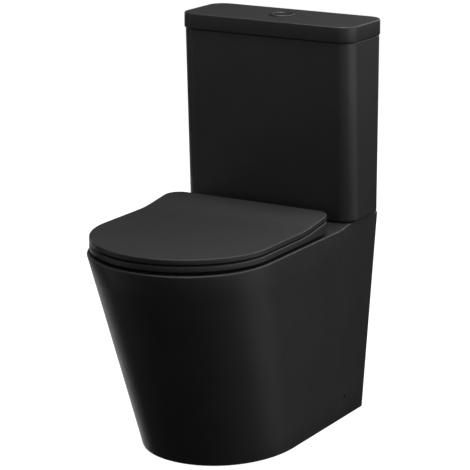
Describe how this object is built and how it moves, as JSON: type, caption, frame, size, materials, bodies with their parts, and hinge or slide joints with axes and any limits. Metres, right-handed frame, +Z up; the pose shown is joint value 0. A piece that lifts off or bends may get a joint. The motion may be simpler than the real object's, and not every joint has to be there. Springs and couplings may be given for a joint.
{
  "type": "close coupled toilet",
  "caption": "Close coupled toilet in matte black: shrouded D-shaped pan, slim soft-close seat and lid on hinges, and a cistern with a dual flush valve, a fill valve and a lift-off lid.",
  "frame": {"origin": "centre of the bounding box at floor level", "axes": "+Z up from the floor, -Y towards the user at the pan's front, +X to the right when looking at the front; x = 0 is the plane of symmetry"},
  "size_m": [0.3818, 0.616, 0.8025],
  "materials": {
    "ceramic": "satin matte black glaze",
    "seat_plastic": "matte black",
    "trim_plastic": "satin black",
    "valve_plastic": "satin white",
    "float_plastic": "satin blue",
    "rubber": "matte",
    "steel": "brushed",
    "brass": "plain"
  },
  "bodies": {
    "root": {"pan": "ceramic", "cistern_tank": "ceramic", "flush_valve_seat": "valve_plastic", "valve_seat_gasket": "rubber", "flush_valve_backnut": "valve_plastic", "doughnut_seal": "rubber", "flush_valve_cage": "valve_plastic", "full_flush_rocker_pin": "steel", "half_flush_rocker_pin": "steel", "fill_valve_body": "valve_plastic", "fill_valve_washer": "rubber", "fill_valve_backnut": "valve_plastic", "float_arm_pin": "steel", "coupling_bolt_left": "brass", "bolt_cone_washer_left": "rubber", "tank_pad_left": "rubber", "pan_washer_left": "rubber", "wing_nut_left": "brass", "hinge_post_left": "steel", "hinge_pin_left": "steel", "hinge_stud_left": "steel", "hinge_plug_left": "rubber", "hinge_nut_left": "steel", "floor_bracket_left": "steel", "side_screw_left": "steel", "coupling_bolt_right": "brass", "bolt_cone_washer_right": "rubber", "tank_pad_right": "rubber", "pan_washer_right": "rubber", "wing_nut_right": "brass", "hinge_post_right": "steel", "hinge_pin_right": "steel", "hinge_stud_right": "steel", "hinge_plug_right": "rubber", "hinge_nut_right": "steel", "floor_bracket_right": "steel", "side_screw_right": "steel"},
    "cistern_lid": {"cistern_lid": "ceramic", "button_bezel": "trim_plastic", "button_ring_nut": "valve_plastic"},
    "full_flush_button": {"full_flush_button": "trim_plastic"},
    "half_flush_button": {"half_flush_button": "trim_plastic"},
    "full_flush_rocker": {"full_flush_rocker": "valve_plastic"},
    "half_flush_rocker": {"half_flush_rocker": "valve_plastic"},
    "overflow_tube": {"overflow_tube": "valve_plastic", "flush_seal": "rubber"},
    "half_flush_float": {"half_flush_float": "float_plastic"},
    "fill_float": {"fill_float": "float_plastic"},
    "float_arm": {"float_arm": "valve_plastic"},
    "seat": {"seat_ring": "seat_plastic", "seat_damper": "trim_plastic", "seat_buffer_front_left": "rubber", "seat_buffer_front_right": "rubber", "seat_buffer_rear_left": "rubber", "seat_buffer_rear_right": "rubber"},
    "seat_lid": {"seat_lid": "seat_plastic", "lid_damper": "trim_plastic", "lid_buffer_left": "rubber", "lid_buffer_right": "rubber"}
  },
  "joints": [
    {"name": "seat_hinge", "type": "hinge", "parent": "root", "child": "seat", "pos_m": [0, 0.109, 0.43], "axis": [-1, 0, 0], "range_deg": [0, 94]},
    {"name": "lid_hinge", "type": "hinge", "parent": "seat", "child": "seat_lid", "pos_m": [0, 0.109, 0.43], "axis": [1, 0, 0], "range_deg": [-94, 0]},
    {"name": "cistern_lid_lift", "type": "slide", "parent": "root", "child": "cistern_lid", "axis": [0, 0, 1], "range_m": [0, 0.1]},
    {"name": "full_flush_press", "type": "slide", "parent": "cistern_lid", "child": "full_flush_button", "axis": [0, 0, -1], "range_m": [0, 0.008], "stiffness_N_per_m": 300, "springref_m": -0.004},
    {"name": "half_flush_press", "type": "slide", "parent": "cistern_lid", "child": "half_flush_button", "axis": [0, 0, -1], "range_m": [0, 0.008], "stiffness_N_per_m": 300, "springref_m": -0.004},
    {"name": "full_flush_rocker_pivot", "type": "hinge", "parent": "root", "child": "full_flush_rocker", "pos_m": [0.025, 0.233, 0.71], "axis": [0, -1, 0], "range_deg": [0, 33]},
    {"name": "half_flush_rocker_pivot", "type": "hinge", "parent": "root", "child": "half_flush_rocker", "pos_m": [-0.025, 0.233, 0.71], "axis": [0, 1, 0], "range_deg": [0, 33]},
    {"name": "overflow_tube_lift", "type": "slide", "parent": "root", "child": "overflow_tube", "axis": [0, 0, 1], "range_m": [0, 0.012]},
    {"name": "half_flush_float_lift", "type": "slide", "parent": "root", "child": "half_flush_float", "axis": [0, 0, 1], "range_m": [0, 0.012]},
    {"name": "fill_float_slide", "type": "slide", "parent": "root", "child": "fill_float", "axis": [0, 0, 1], "range_m": [-0.01, 0]},
    {"name": "float_arm_pivot", "type": "hinge", "parent": "root", "child": "float_arm", "pos_m": [-0.11, 0.233, 0.664], "axis": [0, -1, 0], "range_deg": [-21, 0]}
  ],
  "couplings": [
    {"joint": "full_flush_rocker_pivot", "follows": "full_flush_press", "rad_per_m": 71.4},
    {"joint": "overflow_tube_lift", "follows": "full_flush_press", "ratio": 1.5},
    {"joint": "half_flush_rocker_pivot", "follows": "half_flush_press", "rad_per_m": 71.4},
    {"joint": "half_flush_float_lift", "follows": "half_flush_press", "ratio": 1.5},
    {"joint": "float_arm_pivot", "follows": "fill_float_slide", "rad_per_m": 36}
  ]
}
